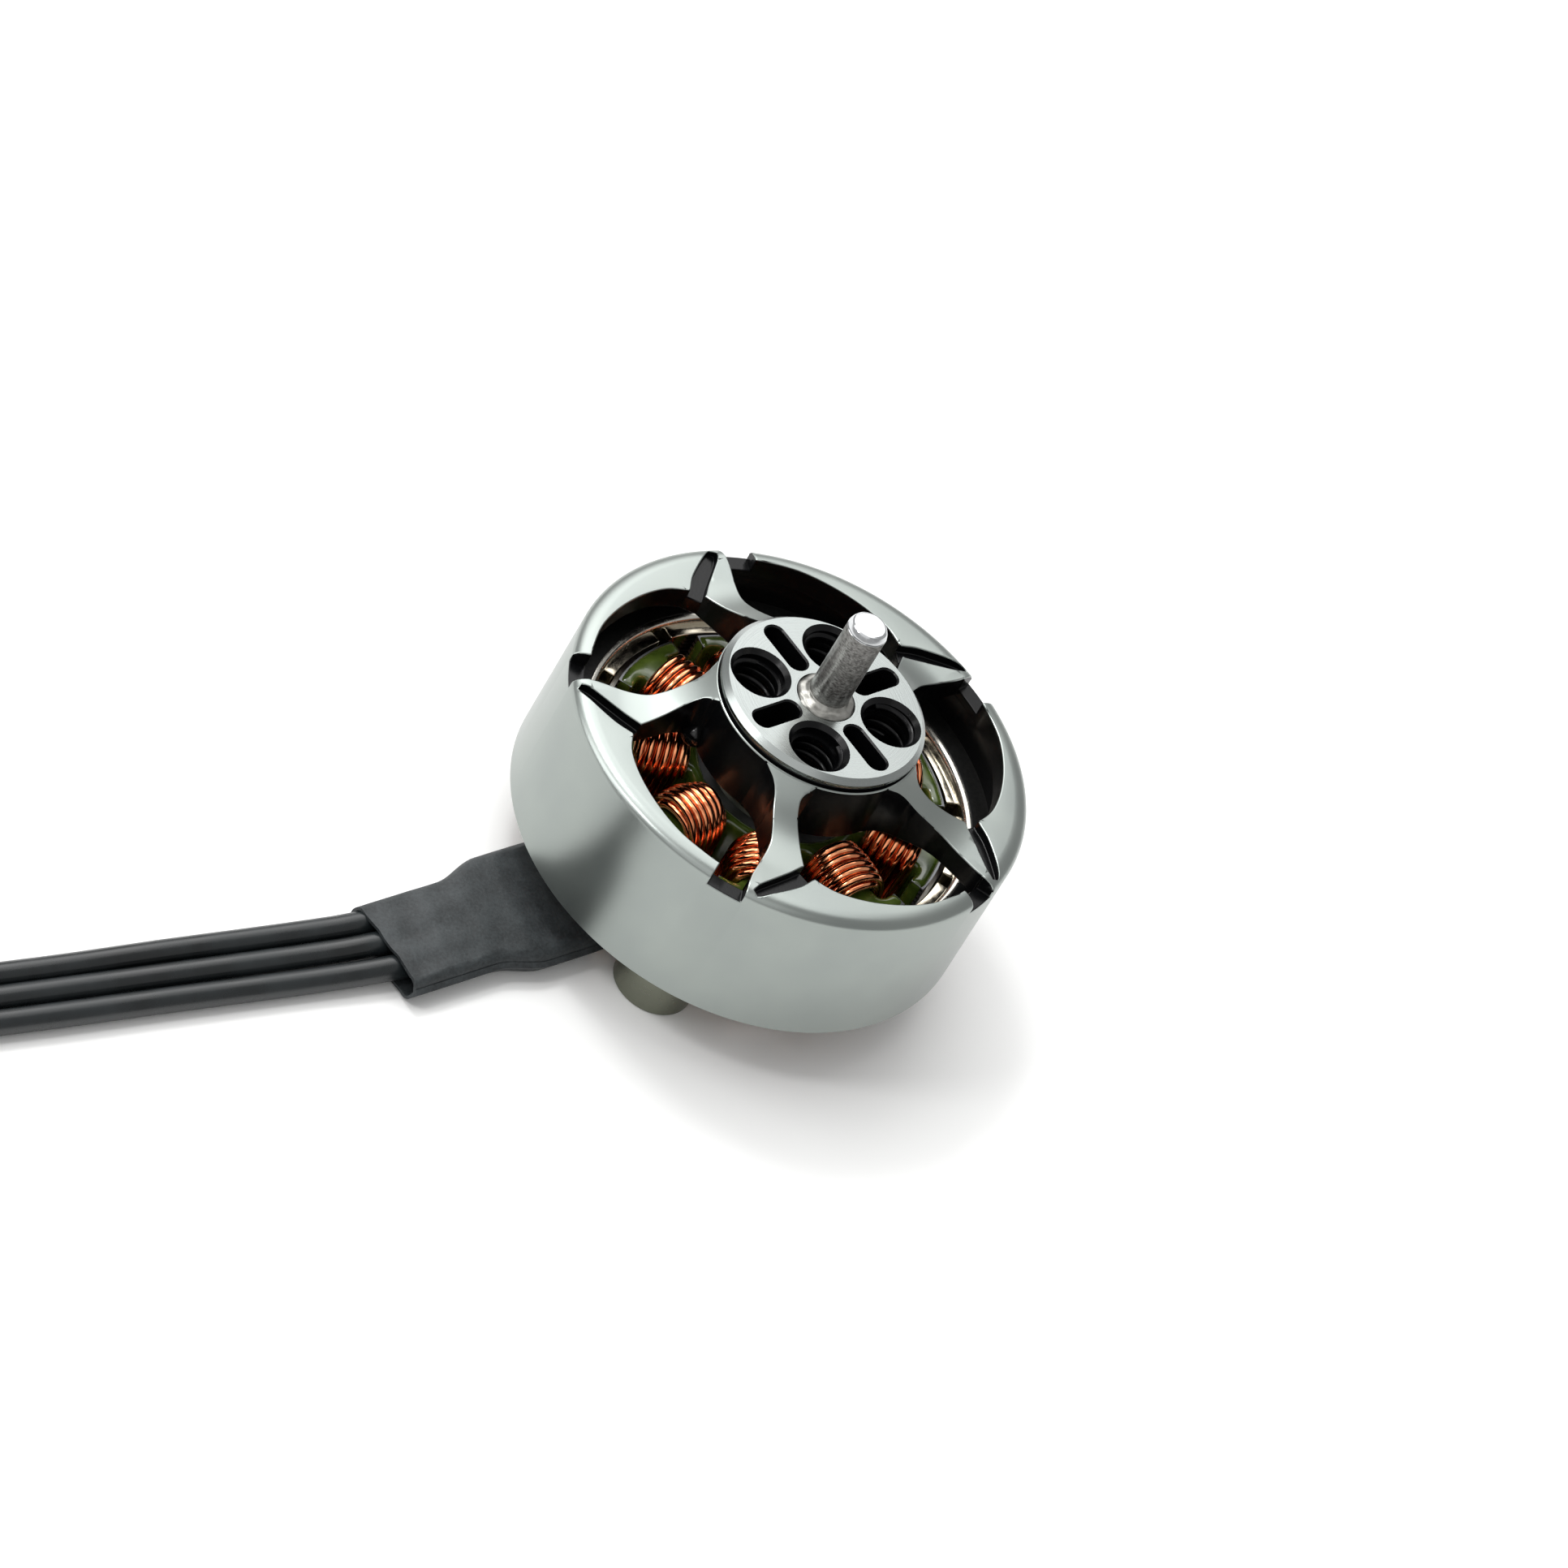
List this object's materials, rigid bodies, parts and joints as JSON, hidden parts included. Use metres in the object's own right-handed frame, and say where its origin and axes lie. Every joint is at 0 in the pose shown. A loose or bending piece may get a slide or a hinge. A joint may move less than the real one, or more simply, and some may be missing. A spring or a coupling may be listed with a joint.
{
  "type": "brushless outrunner motor",
  "caption": "Small outrunner motor for a drone: a ventilated bell and shaft spin on a wound stator and footed base, with sleeved leads.",
  "frame": {"origin": "centre of the base's mounting face, on the shaft's axis", "axes": "+Z along the shaft towards the propeller, -X the way the leads leave"},
  "size_m": [0.0566, 0.0174, 0.0144],
  "materials": {
    "satin_aluminium": "satin anodised",
    "base_aluminium": "satin machined",
    "ring_steel": "dark oxide with a bright lip",
    "magnet_nickel": "nickel plate",
    "dark_epoxy": "gloss",
    "shaft_steel": "ground",
    "spring_steel": "oiled",
    "shim_brass": "satin",
    "bearing_steel": "polished",
    "cage_brass": "satin",
    "lamination_steel": "ground",
    "olive_epoxy": "gloss",
    "enamelled_copper": "clear enamel",
    "solder": "satin",
    "heat_shrink": "matte",
    "black_silicone": "satin",
    "tie_paper": "matte"
  },
  "bodies": {
    "stator": {"base": "base_aluminium", "upper_outer_race": "bearing_steel", "lower_outer_race": "bearing_steel", "upper_balls": "bearing_steel", "lower_balls": "bearing_steel", "upper_cage": "cage_brass", "lower_cage": "cage_brass", "upper_shields": "bearing_steel", "lower_shields": "bearing_steel", "stator_core": "lamination_steel", "stator_coat": "olive_epoxy", "inner_windings": "enamelled_copper", "windings_phase_a": "enamelled_copper", "windings_phase_b": "enamelled_copper", "windings_phase_c": "enamelled_copper", "crossover_wires": "enamelled_copper", "winding_tails": "enamelled_copper", "solder_joints": "solder", "sleeve": "heat_shrink", "lead_a": "black_silicone", "lead_b": "black_silicone", "lead_c": "black_silicone", "lead_a_coil": "black_silicone", "lead_b_coil": "black_silicone", "lead_c_coil": "black_silicone", "coil_tie": "tie_paper", "tinned_ends": "solder"},
    "rotor": {"bell": "satin_aluminium", "flux_ring": "ring_steel", "magnets": "magnet_nickel", "magnet_adhesive": "dark_epoxy", "shaft": "shaft_steel", "shaft_bead": "solder", "retaining_clip": "spring_steel", "upper_shim": "shim_brass", "lower_shim": "shim_brass", "upper_inner_race": "bearing_steel", "lower_inner_race": "bearing_steel"}
  },
  "joints": [
    {"name": "rotor_spin", "type": "hinge", "parent": "stator", "child": "rotor", "pos_m": [0, 0, 0.00575], "axis": [0, 0, 1], "continuous": true}
  ]
}
